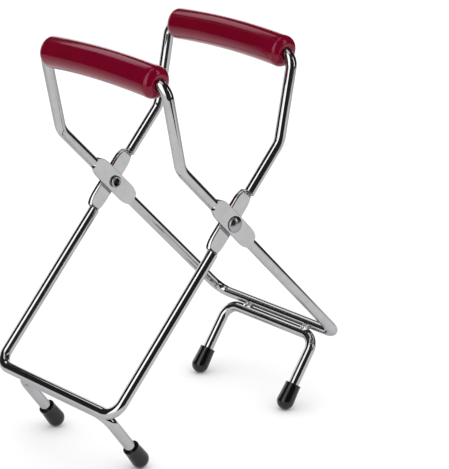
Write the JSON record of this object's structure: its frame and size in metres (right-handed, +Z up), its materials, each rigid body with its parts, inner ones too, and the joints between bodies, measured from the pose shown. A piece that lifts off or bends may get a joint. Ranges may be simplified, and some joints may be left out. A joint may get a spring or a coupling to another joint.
{
  "type": "jar lifter",
  "caption": "Scissor tongs of bent chrome wire with two arched grips and rubber-tipped jaw brackets, for lifting hot canning jars.",
  "frame": {"origin": "on the floor plane under the pivot, at the middle of the four rubber tips, with the jaws half open", "axes": "+Z up from the rubber tips to the grips, +Y along the rivet axis, the crossbars and the grips, +X across the jaws from the grip of side a to the grip of side b"},
  "size_m": [0.141, 0.089, 0.1834],
  "materials": {
    "chrome_wire": "polished chrome plate, satin where the wire is pressed flat",
    "bracket_wire": "polished chrome plate with two small weld beads",
    "grip_plastic": "glossy dark red moulded plastic",
    "tip_rubber": "smooth black dipped rubber, low sheen",
    "rivet_steel": "plated steel, slightly duller than the wire"
  },
  "bodies": {
    "side_a": {"frame_a": "chrome_wire", "grip_a": "grip_plastic", "bracket_a": "bracket_wire", "tip_a1": "tip_rubber", "tip_a2": "tip_rubber", "rivet_1": "rivet_steel", "rivet_2": "rivet_steel"},
    "side_b": {"frame_b": "chrome_wire", "grip_b": "grip_plastic", "bracket_b": "bracket_wire", "tip_b1": "tip_rubber", "tip_b2": "tip_rubber"}
  },
  "joints": [
    {"name": "rivet_hinge", "type": "hinge", "parent": "side_a", "child": "side_b", "pos_m": [0, 0, 0.1059], "axis": [0, 1, 0], "range_deg": [-43, 65]}
  ]
}
